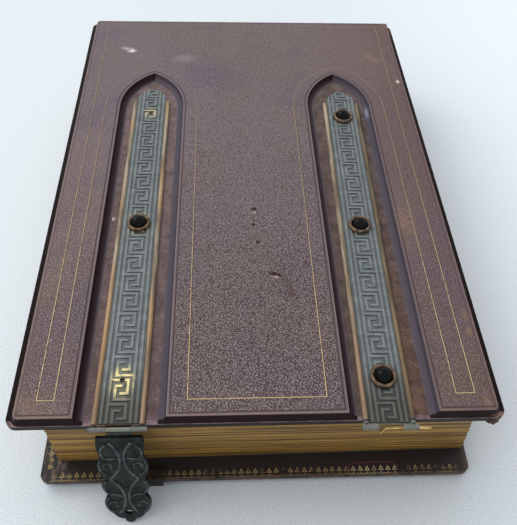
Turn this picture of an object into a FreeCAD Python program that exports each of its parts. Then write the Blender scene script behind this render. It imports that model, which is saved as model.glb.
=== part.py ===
import FreeCAD, Part
import math
import os
import Sketcher
from FreeCAD import Placement, Rotation, Vector

# An oblong leather photograph album lying on its lower cover.
# Frame: X along the spine, Y from the fore edge to the spine, Z up.
# The origin is the middle of the lower cover's underside.

DIMENSIONS = [
    # the two covers
    ("cover_width", 229.2, "upper cover, along the spine"),
    ("lower_trim", 2.1, "lower cover shows this much narrower at either side"),
    ("cover_length", 332.0, "cover, fore edge to spine"),
    ("lip_height", 3.0, "base board with its leather, the thin lip all round"),
    ("panel_height", 4.0, "raised panels above the lip"),
    ("bevel_run", 1.8, "how far the panels' edges slope in"),
    ("end_ledge", 0.4, "lip showing at the fore edge and the spine"),
    ("side_ledge", 2.2, "lip showing at the two sides"),
    ("corner_radius", 4.5, "cover corners in plan"),
    ("cover_slip_x", 1.0, "upper cover lies this far to the left of the lower one"),
    ("cover_slip_y", 2.5, "upper cover lies this far behind the lower one"),
    ("leather_gauge", 0.6, "covering leather"),
    ("turn_in", 14.0, "leather turned in round the inner faces"),
    ("lining_gauge", 0.3, "paper pasted inside each cover"),
    # the two sunk channels of the upper cover
    ("channel_width", 42.0, "sunk channel at the panels' top"),
    ("channel_slope", 4.2, "how far a channel's coved walls reach in"),
    ("brow_run", 1.2, "how far the steep upper part of a wall reaches in"),
    ("cove_rise", 1.6, "height of the gentle lower part of a wall"),
    ("channel_spring", 227.0, "near edge to where the pointed arch starts"),
    ("left_channel_margin", 51.4, "cover's left edge to the middle of the left channel"),
    ("right_channel_margin", 52.8, "cover's right edge to the middle of the right channel"),
    # leaves
    ("album_height", 69.6, "table to the top of the raised panels"),
    ("cover_clearance", 0.15, "between a cover and the leaves"),
    ("leaf_width", 200.8, "leaves, along the spine"),
    ("leaf_set_back", 2.8, "fore edge of the top leaf behind the cover's edge"),
    ("leaf_lean", 10.0, "how much shorter the skewed lowest leaf shows"),
    ("leaf_spread", 13.8, "how much wider the lower leaves have fanned"),
    ("leaf_skew", 0.63, "degrees by which the lowest leaf has turned"),
    ("leaf_count", 18.0, "stiff leaves of the block"),
    ("leaf_gap", 0.35, "shadow gap between two leaves"),
    ("section_gap", 0.9, "wider gap after every few leaves"),
    ("core_inset", 6.0, "depth of the gaps between the leaves"),
    ("leaf_wobble", 0.3, "unevenness of the fore edge"),
    ("flyleaf_gauge", 0.9, "stiff flyleaf at each end of the block"),
    # spine
    ("joint_width", 5.0, "leather joint between a cover and the spine"),
    ("spine_gauge", 1.2, "spine leather"),
    ("liner_gauge", 1.0, "card liner glued along the back of the leaves"),
    ("joint_clearance", 0.3, "between the spine's joint flaps and the covers"),
    ("spine_corner", 1.0, "rounding where the spine turns into its flaps"),
    # straps
    ("strap_width", 24.4, "copper strap over its beads"),
    ("strap_gauge", 0.5, "copper strap plate"),
    ("strap_overrun", 8.0, "beads run on past the start of the arch"),
    ("bead_radius", 1.35, "half-round bead down each side of a strap"),
    ("band_width", 18.9, "silvered key band between the beads"),
    ("band_gauge", 0.6, "key band plate"),
    ("band_start", 0.3, "near edge to the key band"),
    ("shoulder_run", 3.5, "end of the beads to the shoulder of the key band"),
    ("tip_run", 9.8, "shoulder of the key band to its point"),
    ("tip_radius", 17.0, "arcs of the band's point"),
    ("left_strap_shift", -0.7, "left strap from the middle of its channel"),
    ("right_strap_shift", 2.1, "right strap, at its far stud, from the middle of its channel"),
    ("right_strap_skew", 1.18, "degrees by which the right strap has slewed"),
    ("right_strap_slide", 2.0, "right strap has slid this far towards the fore edge"),
    # key pattern
    ("relief", 0.45, "raised lines above the band plate"),
    ("rail_width", 1.15, "raised lines either side of the key"),
    ("outer_rail_x", 7.9, "outer line from the middle of the band"),
    ("rail_x", 5.4, "inner line from the middle of the band"),
    ("key_line", 1.25, "width of the key's raised line"),
    ("key_leg_x", 2.85, "upright of a key hook from the middle"),
    ("key_end_x", 0.75, "how far a hook's end passes the middle"),
    ("key_drop", 7.1, "bar of a hook to its end"),
    ("key_depth", 10.2, "bar of one hook to the bar of its partner"),
    ("key_pitch", 12.64, "one pair of hooks to the next"),
    ("key_start", 9.7, "near edge to the first bar"),
    # studs
    ("left_near_stud", 22.4, "near end of the left strap to its first stud"),
    ("left_far_stud", 13.0, "left strap's last stud to the end of its beads"),
    ("right_near_stud", 23.6, "near end of the right strap to its first stud"),
    ("right_far_stud", 15.0, "right strap's last stud to the end of its beads"),
    ("bezel_radius", 6.5, "stud ring"),
    ("bezel_height", 2.1, "stud ring"),
    ("bezel_rim", 1.0, "width of the ring's rounded lip"),
    ("stone_height", 5.0, "top of the stone above the band"),
    ("seat_depth", 1.6, "stone's seat below the ring's lip"),
    ("stone_clearance", 0.05, "stone in its ring"),
    ("shank_radius", 1.2, "rivet shank of a stud"),
    ("shank_clearance", 0.05, "shank in the strap's hole"),
    # strap hinges
    ("knuckle_radius", 1.2, "rolled hinge knuckles"),
    ("pin_radius", 0.6, "hinge pin"),
    ("pin_clearance", 0.05, "pin in the knuckles"),
    ("hinge_width", 26.0, "over the strap's two knuckles"),
    ("left_hinge_shift", 0.1, "left hinge from the middle of its strap"),
    ("right_hinge_shift", 0.5, "right hinge from the middle of its strap"),
    ("clasp_knuckle", 11.2, "the clasp's own knuckle"),
    ("knuckle_gap", 0.15, "between neighbouring knuckles"),
    ("knuckle_stand_off", 0.3, "knuckles in front of the cover's edge"),
    ("left_pin_end", 1.8, "left pin beyond its knuckle"),
    ("right_pin_end", 5.6, "broken right pin beyond its knuckle"),
    ("wire_radius", 0.4, "bent wire left in the broken hinge"),
    ("wire_reach", 9.5, "bent wire, sideways"),
    ("wire_drop", 5.5, "bent wire, downwards"),
    # clasp
    ("clasp_gauge", 1.6, "cast plate of the clasp"),
    ("clasp_offset", 0.3, "back of the clasp in front of the pin's middle"),
    ("scroll_radius", 0.7, "thick scroll rods, half sunk in the plate"),
    ("tendril_radius", 0.5, "thin scroll rods"),
    ("eye_radius", 0.85, "round eyes of the scrolls"),
    ("clasp_lift", 0.03, "tip of the leaning clasp above the table"),
    ("clasp_hole_width", 4.4, "slot for the catch's peg, across"),
    ("clasp_hole_height", 3.5, "slot for the catch's peg, along"),
    ("clasp_toe", 8.2, "middle of the slot to the tip of the clasp"),
    # catch
    ("catch_shift", 0.3, "left catch from the middle of the left channel"),
    ("catch_width", 26.5, "catch plate"),
    ("catch_gauge", 0.8, "catch plate"),
    ("catch_tongue", 7.5, "catch plate on the lower cover's inner face"),
    ("catch_foot", 0.4, "foot of the catch plate above the table"),
    ("peg_radius", 1.2, "catch peg"),
    ("peg_length", 3.0, "catch peg"),
    ("peg_rise", 5.8, "catch peg above the table"),
]

NODES = []


def build_sheet(doc):
    """Every driving dimension is one cell with an alias."""
    sheet = doc.addObject("Spreadsheet::Sheet", "dims")
    for row, (alias, size, note) in enumerate(DIMENSIONS, start=1):
        sheet.set(f"A{row}", note)
        sheet.set(f"B{row}", str(size))
        sheet.setAlias(f"B{row}", alias)
    doc.recompute()
    return sheet


def number(obj, expression):
    """The value of an expression in millimetres or degrees."""
    found = obj.evalExpression(expression)
    return float(getattr(found, "Value", found))


def bind(obj, **expressions):
    """Bind properties to expressions; a double underscore stands for a dot."""
    for name, expression in expressions.items():
        obj.setExpression(name.replace("__", "."), expression)


def place(obj, x="0", y="0", z="0"):
    bind(obj, Placement__Base__x=x, Placement__Base__y=y, Placement__Base__z=z)


def turn(obj, axis, degrees):
    """Turn an object about one axis; the angle is an expression."""
    obj.Placement = Placement(obj.Placement.Base, Rotation(axis, 1))
    bind(obj, Placement__Rotation__Angle=degrees)


def keep(obj, label):
    """Name a finished sub-part; its label is also its file's name."""
    obj.Label = label
    NODES.append(obj)
    return obj


# ---------------------------------------------------------------- sketches

def new_body(doc, name):
    return doc.addObject("PartDesign::Body", name)


def new_sketch(body, name, plane="XY_Plane", offset="0"):
    sketch = body.newObject("Sketcher::SketchObject", name)
    support = next(f for f in body.Origin.OriginFeatures if f.Role == plane)
    sketch.AttachmentSupport = [(support, "")]
    sketch.MapMode = "FlatFace"
    sketch.setExpression("AttachmentOffset.Base.z", offset)
    return sketch


def arc_between(start, end, radius, side, major):
    """Arc from start to end; side 1 runs anticlockwise, -1 clockwise."""
    chord = end - start
    half = chord.Length / 2
    rise = math.sqrt(max(radius * radius - half * half, 0.0))
    normal = Vector(-chord.y, chord.x, 0).normalize()
    reach = -side if major else side
    centre = (start + end) * 0.5 + normal * rise * reach
    first, last = (start, end) if side > 0 else (end, start)
    angles = [math.atan2((p - centre).y, (p - centre).x) for p in (first, last)]
    if angles[1] <= angles[0]:
        angles[1] += 2 * math.pi
    return Part.ArcOfCircle(Part.Circle(centre, Vector(0, 0, 1), radius), *angles)


def draw_outline(sketch, nodes):
    """Closed outline; a node is (x, y) or (x, y, radius, side[, major]) for an arc."""
    points = [Vector(number(sketch, n[0]), number(sketch, n[1]), 0) for n in nodes]
    first = sketch.GeometryCount
    starts, ends, radii = [], [], []
    for i, node in enumerate(nodes):
        start, end = points[i], points[(i + 1) % len(nodes)]
        if len(node) > 2:
            side = node[3]
            radius = number(sketch, node[2])
            sketch.addGeometry(arc_between(start, end, radius, side, len(node) > 4))
            starts.append(1 if side > 0 else 2)
            ends.append(2 if side > 0 else 1)
            radii.append((first + i, node[2], radius))
        else:
            sketch.addGeometry(Part.LineSegment(start, end))
            starts.append(1)
            ends.append(2)
    count = len(nodes)
    joins = []
    for i in range(count):
        before = (i - 1) % count
        joins.append(Sketcher.Constraint("Coincident", first + before, ends[before],
                                         first + i, starts[i]))
    sketch.addConstraint(joins)
    for i, node in enumerate(nodes):
        for kind, size, expression in (("DistanceX", points[i].x, node[0]),
                                       ("DistanceY", points[i].y, node[1])):
            fix(sketch, Sketcher.Constraint(kind, first + i, starts[i], size), expression)
    for geometry, expression, radius in radii:
        fix(sketch, Sketcher.Constraint("Radius", geometry, radius), expression)


def fix(sketch, constraint, expression):
    index = sketch.addConstraint(constraint)
    sketch.setExpression(f"Constraints[{index}]", expression)


def draw_circle(sketch, x, y, radius):
    centre = Vector(number(sketch, x), number(sketch, y), 0)
    size = number(sketch, radius)
    circle = sketch.addGeometry(Part.Circle(centre, Vector(0, 0, 1), size))
    fix(sketch, Sketcher.Constraint("DistanceX", circle, 3, centre.x), x)
    fix(sketch, Sketcher.Constraint("DistanceY", circle, 3, centre.y), y)
    fix(sketch, Sketcher.Constraint("Radius", circle, size), radius)


def rectangle(left, right, low, high):
    return [(left, low), (right, low), (right, high), (left, high)]


def mirrored(nodes):
    """Right half of an outline, drawn from its first point round to the left half."""
    back = []
    for i in range(len(nodes) - 1, 0, -1):
        x, y = nodes[i][0], nodes[i][1]
        back.append((f"-({x})", y) + tuple(nodes[i - 1][2:]))
    x, y = nodes[0][0], nodes[0][1]
    back.append((f"-({x})", y))
    return list(nodes) + back


# ---------------------------------------------------------------- features

def pad(body, name, sketch, length, midplane=False, **expressions):
    feature = body.newObject("PartDesign::Pad", name)
    feature.Profile = sketch
    if midplane:
        feature.SideType = "Symmetric"
    bind(feature, Length=length, **expressions)
    return feature


def pocket(body, name, sketch, length, upward=False, **expressions):
    """Cut a sketch out of the body, downwards from its plane unless told otherwise."""
    feature = body.newObject("PartDesign::Pocket", name)
    feature.Profile = sketch
    feature.Reversed = upward
    bind(feature, Length=length, **expressions)
    return feature


def revolve(body, name, sketch):
    """Turn a half profile drawn in the XZ plane round the Z axis."""
    feature = body.newObject("PartDesign::Revolution", name)
    feature.Profile = sketch
    feature.ReferenceAxis = (sketch, ["V_Axis"])
    feature.Angle = 360.0
    return feature


def repeat(body, name, originals, sketch, pitch, count):
    """Repeat features along the sketch's own V axis."""
    feature = body.newObject("PartDesign::LinearPattern", name)
    feature.Originals = originals
    feature.Direction = (sketch, ["V_Axis"])
    feature.Mode = "Spacing"
    bind(feature, Offset=pitch, Occurrences=count)
    body.Tip = feature
    return feature


def box(doc, name, width, length, height):
    """Box whose near lower left corner is its placement."""
    block = doc.addObject("Part::Box", name)
    bind(block, Length=width, Width=length, Height=height)
    return block


def cut(doc, name, base, tool):
    feature = doc.addObject("Part::Cut", name)
    feature.Base = base
    feature.Tool = tool
    return feature


def fuse(doc, name, shapes):
    feature = doc.addObject("Part::MultiFuse", name)
    feature.Shapes = shapes
    feature.Refine = True
    return feature


# ---------------------------------------------------------------- covers

COVER_HALF = {"lower": "(dims.cover_width / 2 - dims.lower_trim)",
              "upper": "(dims.cover_width / 2)"}


def cover_outline(cover, inset, side_ledge="0", end_ledge="0"):
    """Cover in plan with rounded corners, drawn in by an inset and by its ledges."""
    side = f"({COVER_HALF[cover]} - {inset} - {side_ledge})"
    end = f"(dims.cover_length / 2 - {inset} - {end_ledge})"
    radius = f"(dims.corner_radius - {inset})"
    return [
        (f"-{side} + {radius}", f"-{end}"),
        (f"{side} - {radius}", f"-{end}", radius, 1),
        (side, f"-{end} + {radius}"),
        (side, f"{end} - {radius}", radius, 1),
        (f"{side} - {radius}", end),
        (f"-{side} + {radius}", end, radius, 1),
        (f"-{side}", f"{end} - {radius}"),
        (f"-{side}", f"-{end} + {radius}", radius, 1),
    ]


CHANNEL_X = {"left": "(dims.left_channel_margin - dims.cover_width / 2)",
             "right": "(dims.cover_width / 2 - dims.right_channel_margin)"}


def channel_outline(middle, inset):
    """Pointed-arch channel, open past the near edge of the cover."""
    half = f"(dims.channel_width / 2 + {inset})"
    span = f"(dims.channel_width + {inset})"
    near = "(-dims.cover_length / 2)"
    mouth = f"{near} - 3 * dims.channel_slope"
    spring = f"{near} + dims.channel_spring"
    apex = f"{spring} + sqrt({span} * {span} - (dims.channel_width / 2) * (dims.channel_width / 2))"
    return [
        (f"{middle} - {half}", mouth),
        (f"{middle} + {half}", mouth),
        (f"{middle} + {half}", spring, span, 1),
        (middle, apex, span, 1),
        (f"{middle} - {half}", spring),
    ]


def cover_form(doc, name, side, inset):
    """Lip and raised panels of a cover, inner face down, drawn in by an inset."""
    body = new_body(doc, name)
    lip_top = f"(dims.lip_height - {inset})"
    lip = new_sketch(body, f"{name}_lip_sketch", offset=inset)
    draw_outline(lip, cover_outline(side, inset))
    pad(body, f"{name}_lip", lip, f"dims.lip_height - 2 * {inset}")
    panel = new_sketch(body, f"{name}_panel_sketch", offset=lip_top)
    draw_outline(panel, cover_outline(side, inset, "dims.side_ledge", "dims.end_ledge"))
    pad(body, f"{name}_panel", panel, "dims.panel_height",
        TaperAngle="-atan(dims.bevel_run / dims.panel_height)")
    if side == "upper":
        sunk = new_sketch(body, f"{name}_channel_sketch",
                          offset=f"{lip_top} + dims.panel_height")
        for middle in CHANNEL_X.values():
            draw_outline(sunk, channel_outline(middle, inset))
        brow = "(dims.panel_height - dims.cove_rise)"
        pocket(body, f"{name}_channels", sunk, brow, TaperAngle=f"-atan(dims.brow_run / {brow})")
        cove = new_sketch(body, f"{name}_cove_sketch", offset=f"{lip_top} + dims.cove_rise")
        for middle in CHANNEL_X.values():
            draw_outline(cove, channel_outline(middle, f"({inset} - dims.brow_run)"))
        pocket(body, f"{name}_coves", cove, "dims.cove_rise",
               TaperAngle="-atan((dims.channel_slope - dims.brow_run) / dims.cove_rise)")
    return body


def lining_box(doc, name, side, height, rise):
    """Sheet inside the turned-in leather of one cover, at a height above the table."""
    half = f"({COVER_HALF[side]} - dims.turn_in)"
    sheet = box(doc, name, f"2 * {half}", "dims.cover_length - 2 * dims.turn_in", height)
    x, y = COVER_MIDDLE[side]
    place(sheet, f"{x} - {half}",
          f"{y} - dims.cover_length / 2 + dims.turn_in", rise)
    return sheet


COVER_MIDDLE = {"lower": ("0", "0"), "upper": ("(-dims.cover_slip_x)", "dims.cover_slip_y")}
COVER_GAUGE = "(dims.lip_height + dims.panel_height)"


def seat_cover(body, side):
    """Stand a cover form in the album: the lower one is turned over."""
    x, y = COVER_MIDDLE[side]
    if side == "lower":
        turn(body, Vector(1, 0, 0), "180")
        place(body, x, y, COVER_GAUGE)
    else:
        place(body, x, y, f"dims.album_height - {COVER_GAUGE}")


def build_cover(doc, side):
    """Board, covering leather and lining of one cover."""
    upper = side == "upper"
    board = cover_form(doc, f"{side}_board_form", side, "dims.leather_gauge")
    outside = cover_form(doc, f"{side}_leather_form", side, "0")
    inner = f"(dims.album_height - {COVER_GAUGE})" if upper else COVER_GAUGE
    window_rise = inner if upper else f"{inner} - dims.leather_gauge"
    lining_rise = f"{window_rise} + dims.leather_gauge - dims.lining_gauge" if upper else window_rise
    window = lining_box(doc, f"{side}_window", side, "dims.leather_gauge", window_rise)
    lining = lining_box(doc, f"{side}_lining_sheet", side, "dims.lining_gauge", lining_rise)
    seat_cover(board, side)
    seat_cover(outside, side)
    shell = cut(doc, f"{side}_leather_shell", outside, board)
    keep(cut(doc, f"{side}_leather_cut", shell, window), f"{side}_leather")
    keep(lining, f"{side}_pastedown")
    keep(board, f"{side}_board")


# ---------------------------------------------------------------- leaves and spine

SPINE_LOW = "(dims.cover_length / 2 + dims.joint_width)"
SPINE_FOOT = "dims.panel_height"
SPINE_HEAD = "(dims.album_height - dims.panel_height)"
SPINE_LEAN = f"(dims.cover_slip_y / ({SPINE_HEAD} - {SPINE_FOOT}))"
BLOCK_FLOOR = f"({COVER_GAUGE} + dims.cover_clearance + dims.flyleaf_gauge)"
BLOCK_HEIGHT = f"(dims.album_height - 2 * {BLOCK_FLOOR})"
BLOCK_BACK = f"({SPINE_LOW} - dims.spine_gauge - dims.liner_gauge)"
TOP_LEAF_LENGTH = (f"({BLOCK_BACK} + {SPINE_LEAN} * {BLOCK_HEIGHT}"
                   " + dims.cover_length / 2 - dims.cover_slip_y - dims.leaf_set_back)")
SECTION = 4


def leaf_box(doc, name, depth, trim, height, rise, back_trim="0"):
    """One leaf; depth is 0 at the top of the block and 1 at its foot."""
    width = f"(dims.leaf_width + dims.leaf_spread * {depth} - 2 * {trim})"
    length = f"({TOP_LEAF_LENGTH} - dims.leaf_lean * {depth} - {trim} - {back_trim})"
    angle = f"(dims.leaf_skew * {depth})"
    back = f"({BLOCK_BACK} + {SPINE_LEAN} * {BLOCK_HEIGHT} * (1 - {depth}) - {back_trim})"
    leaf = box(doc, name, width, length, height)
    turn(leaf, Vector(0, 0, 1), angle)
    place(leaf, f"{length} * sin({angle}) - {width} / 2 * cos({angle})",
          f"{back} - {length} * cos({angle}) - {width} * sin({angle})", rise)
    return leaf


def build_leaves(doc, sheet):
    """All the leaves as one solid: a core with the leaf edges standing out of it."""
    count = int(number(sheet, "leaf_count"))
    pitch = f"({BLOCK_HEIGHT} / dims.leaf_count)"
    core = leaf_box(doc, "leaf_core", "0.5", "dims.core_inset", f"{BLOCK_HEIGHT} - {pitch}",
                    f"{BLOCK_FLOOR} + {pitch} / 2", "dims.core_inset")
    shapes = [core]
    for index in range(count):
        depth = round(1 - index / (count - 1), 4)
        gap = "dims.section_gap" if index % SECTION == SECTION - 1 else "dims.leaf_gap"
        if index == count - 1:
            gap = "0"
        wave = round((1 + math.sin(2.4 * index)) / 2, 3)
        shapes.append(leaf_box(doc, f"leaf_{index}", str(depth),
                               f"(dims.leaf_wobble * {wave})", f"{pitch} - {gap}",
                               f"{BLOCK_FLOOR} + {pitch} * {index}"))
    keep(fuse(doc, "leaves", shapes), "page_block")


def build_flyleaves(doc):
    for name, depth, rise in (("upper", "0", f"{BLOCK_FLOOR} + {BLOCK_HEIGHT}"),
                              ("lower", "1", f"{BLOCK_FLOOR} - dims.flyleaf_gauge")):
        sheet = leaf_box(doc, f"{name}_fly", depth, "dims.leaf_wobble",
                         "dims.flyleaf_gauge", rise)
        keep(sheet, f"{name}_flyleaf")


def spine_y(rise, inset):
    """The leaning spine's face at a height, drawn in by an inset."""
    return f"({SPINE_LOW} + {SPINE_LEAN} * ({rise} - {SPINE_FOOT}) - {inset})"


def build_spine(doc):
    """Leather spine with a joint flap towards each cover, and its card liner."""
    body = new_body(doc, "spine_body")
    low_edge = "(dims.cover_length / 2 + dims.joint_clearance)"
    high_edge = f"({low_edge} + dims.cover_slip_y)"
    low_bend = f"({SPINE_FOOT} + dims.spine_corner)"
    high_bend = f"({SPINE_HEAD} - dims.spine_corner)"
    low_inside = f"({SPINE_FOOT} + dims.leather_gauge)"
    high_inside = f"({SPINE_HEAD} - dims.leather_gauge)"
    profile = new_sketch(body, "spine_profile", "YZ_Plane")
    draw_outline(profile, [
        (low_edge, SPINE_FOOT),
        (spine_y(SPINE_FOOT, "dims.spine_corner"), SPINE_FOOT, "dims.spine_corner", 1),
        (spine_y(low_bend, "0"), low_bend),
        (spine_y(high_bend, "0"), high_bend, "dims.spine_corner", 1),
        (spine_y(SPINE_HEAD, "dims.spine_corner"), SPINE_HEAD),
        (high_edge, SPINE_HEAD),
        (high_edge, high_inside),
        (spine_y(high_inside, "dims.spine_gauge"), high_inside),
        (spine_y(low_inside, "dims.spine_gauge"), low_inside),
        (low_edge, low_inside),
    ])
    pad(body, "spine_pad", profile, f"2 * ({COVER_HALF['lower']} - dims.leather_gauge)",
        midplane=True)
    keep(body, "spine_leather")
    card = new_body(doc, "liner_body")
    section = new_sketch(card, "liner_section", "YZ_Plane")
    top = f"({BLOCK_FLOOR} + {BLOCK_HEIGHT})"
    far = "dims.spine_gauge"
    near = "(dims.spine_gauge + dims.liner_gauge)"
    draw_outline(section, [
        (spine_y(BLOCK_FLOOR, near), BLOCK_FLOOR),
        (spine_y(BLOCK_FLOOR, far), BLOCK_FLOOR),
        (spine_y(top, far), top),
        (spine_y(top, near), top),
    ])
    pad(card, "liner_pad", section, "dims.leaf_width", midplane=True)
    keep(card, "spine_liner")


# ---------------------------------------------------------------- straps

NEAR_EDGE = "(dims.cover_slip_y - dims.cover_length / 2)"
CHANNEL_FLOOR = "(dims.album_height - dims.panel_height)"
HINGE_Y = "(-dims.knuckle_radius - dims.knuckle_stand_off)"
HINGE_Z = "(dims.strap_gauge - dims.knuckle_radius)"
KNUCKLE_START = "(dims.clasp_knuckle / 2 + dims.knuckle_gap)"
BAND_TOP = "(dims.strap_gauge + dims.band_gauge + dims.relief)"
STRAP_END = "(dims.channel_spring + dims.strap_overrun)"
SHOULDER = f"({STRAP_END} + dims.shoulder_run)"
TIP = f"({SHOULDER} + dims.tip_run)"
STUDS = ("near", "mid", "far")


def strap_x(side):
    return f"({CHANNEL_X[side]} + dims.{side}_strap_shift - dims.cover_slip_x)"


def stud_along(side, stud):
    """Near edge to a stud; the middle one is halfway between the others."""
    near = f"dims.{side}_near_stud"
    far = f"({STRAP_END} - dims.{side}_far_stud)"
    return {"near": near, "mid": f"(({near} + {far}) / 2)", "far": far}[stud]


def seat_on_strap(obj, side, along, rise):
    """Stand a part on its strap, a distance along it and a height above the channel."""
    if side == "left":
        place(obj, strap_x(side), f"{NEAR_EDGE} + {along}",
              f"{CHANNEL_FLOOR} + {rise}")
        return
    turn(obj, Vector(0, 0, 1), "-dims.right_strap_skew")
    pivot = stud_along(side, "far")
    reach = f"({along} - {pivot})"
    place(obj, f"{strap_x(side)} + {reach} * sin(dims.right_strap_skew)",
          f"{NEAR_EDGE} + {pivot} + {reach} * cos(dims.right_strap_skew) - dims.right_strap_slide",
          f"{CHANNEL_FLOOR} + {rise}")


def point_outline(half, start, shoulder, tip):
    """Band in plan: straight sides and an end of two arcs meeting in a point."""
    return [
        (half, start),
        (half, shoulder, "dims.tip_radius", 1),
        ("0", tip, "dims.tip_radius", 1),
        (f"-{half}", shoulder),
        (f"-{half}", start),
    ]


def stud_holes(body, name, side, offset, depth):
    """Three rivet holes down the middle of a strap."""
    holes = new_sketch(body, f"{name}_hole_sketch", offset=offset)
    for stud in STUDS:
        draw_circle(holes, "0", stud_along(side, stud),
                    "dims.shank_radius + dims.shank_clearance")
    pocket(body, f"{name}_holes", holes, depth)


def knuckle_outline():
    """Strap end rolled over the cover's edge, seen from the side."""
    throat = f"({HINGE_Y} + sqrt(dims.knuckle_radius ^ 2 - {HINGE_Z} ^ 2))"
    return [
        ("0", "dims.strap_gauge"),
        (HINGE_Y, "dims.strap_gauge", "dims.knuckle_radius", 1, "major"),
        (throat, "0"),
        ("0", "0"),
    ]


def build_strap_base(doc, side):
    """Copper strap with a half-round bead down each side and two rolled knuckles."""
    name = f"{side}_base"
    body = new_body(doc, f"{name}_body")
    half = "(dims.strap_width / 2)"
    inner = "(dims.band_width / 2)"
    plan = new_sketch(body, f"{name}_plan")
    draw_outline(plan, [
        (half, "0"),
        (half, STRAP_END),
        (inner, STRAP_END),
        (inner, SHOULDER, "dims.tip_radius", 1),
        ("0", TIP, "dims.tip_radius", 1),
        (f"-{inner}", SHOULDER),
        (f"-{inner}", STRAP_END),
        (f"-{half}", STRAP_END),
        (f"-{half}", "0"),
    ])
    pad(body, f"{name}_plate", plan, "dims.strap_gauge")
    beads = new_sketch(body, f"{name}_bead_sketch", "XZ_Plane")
    for sign in ("", "-"):
        middle = f"{sign}({half} - dims.bead_radius)"
        draw_outline(beads, [
            (f"{middle} - dims.bead_radius", "0"),
            (f"{middle} + dims.bead_radius", "0"),
            (f"{middle} + dims.bead_radius", "dims.strap_gauge", "dims.bead_radius * 1.001", 1),
            (f"{middle} - dims.bead_radius", "dims.strap_gauge"),
        ])
    pad(body, f"{name}_beads", beads, STRAP_END).Reversed = True
    stud_holes(body, name, side, "dims.strap_gauge", "dims.strap_gauge")
    for turn_name, low, high in (("left", "-dims.hinge_width / 2", f"-{KNUCKLE_START}"),
                                 ("right", KNUCKLE_START, "dims.hinge_width / 2")):
        roll = new_sketch(body, f"{name}_{turn_name}_knuckle_sketch", "YZ_Plane",
                          f"{low} + dims.{side}_hinge_shift")
        draw_outline(roll, knuckle_outline())
        draw_circle(roll, HINGE_Y, HINGE_Z, "dims.pin_radius + dims.pin_clearance")
        pad(body, f"{name}_{turn_name}_knuckle", roll, f"({high}) - ({low})")
    seat_on_strap(body, side, "0", "0")
    keep(body, f"{side}_strap_base")


def key_hooks():
    """The two interlocking hooks of one key, as outlines; y falls from the first bar."""
    half = "dims.key_line / 2"
    rail = "(dims.rail_x - dims.rail_width / 2)"
    leg = "dims.key_leg_x"
    hook = [
        (f"-{rail}", half),
        (f"-{rail}", f"-{half}"),
        (f"{leg} - {half}", f"-{half}"),
        (f"{leg} - {half}", f"-dims.key_drop + {half}"),
        ("-dims.key_end_x", f"-dims.key_drop + {half}"),
        ("-dims.key_end_x", f"-dims.key_drop - {half}"),
        (f"{leg} + {half}", f"-dims.key_drop - {half}"),
        (f"{leg} + {half}", half),
    ]
    partner = [(f"-({x})", f"-dims.key_depth - ({y})") for x, y in hook]
    return hook, partner


def build_key_band(doc, side):
    """Silvered band with a raised key pattern between rails."""
    name = f"{side}_band"
    body = new_body(doc, f"{name}_body")
    half = "(dims.band_width / 2)"
    plan = new_sketch(body, f"{name}_plan")
    draw_outline(plan, point_outline(half, "dims.band_start", SHOULDER, TIP))
    pad(body, f"{name}_plate", plan, "dims.band_gauge")
    lines = new_sketch(body, f"{name}_line_sketch", offset="dims.band_gauge")
    low, high = "(dims.band_start - dims.relief)", f"({TIP} + dims.relief)"
    for sign in ("", "-"):
        for middle in ("dims.outer_rail_x", "dims.rail_x"):
            draw_outline(lines, rectangle(f"{sign}{middle} - dims.rail_width / 2",
                                          f"{sign}{middle} + dims.rail_width / 2", low, high))
    pad(body, f"{name}_lines", lines, "dims.relief")
    keys = new_sketch(body, f"{name}_key_sketch", offset="dims.band_gauge")
    keys.setExpression("AttachmentOffset.Base.y", "dims.key_start")
    for outline in key_hooks():
        draw_outline(keys, outline)
    hooks = pad(body, f"{name}_hooks", keys, "dims.relief")
    count = f"floor(({TIP} - dims.key_start) / dims.key_pitch) + 2"
    repeat(body, f"{name}_keys", [hooks], keys, "dims.key_pitch", count)
    trim = new_sketch(body, f"{name}_trim_sketch", offset="dims.band_gauge + dims.relief")
    draw_outline(trim, rectangle("-dims.band_width", "dims.band_width", "-dims.key_pitch",
                                 f"{TIP} + 2 * dims.key_pitch"))
    draw_outline(trim, point_outline(half, "dims.band_start", SHOULDER, TIP))
    pocket(body, f"{name}_trim", trim, "dims.relief")
    stud_holes(body, name, side, "dims.band_gauge + dims.relief", "dims.band_gauge + dims.relief")
    seat_on_strap(body, side, "0", "dims.strap_gauge")
    keep(body, f"{side}_key_band")


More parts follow.
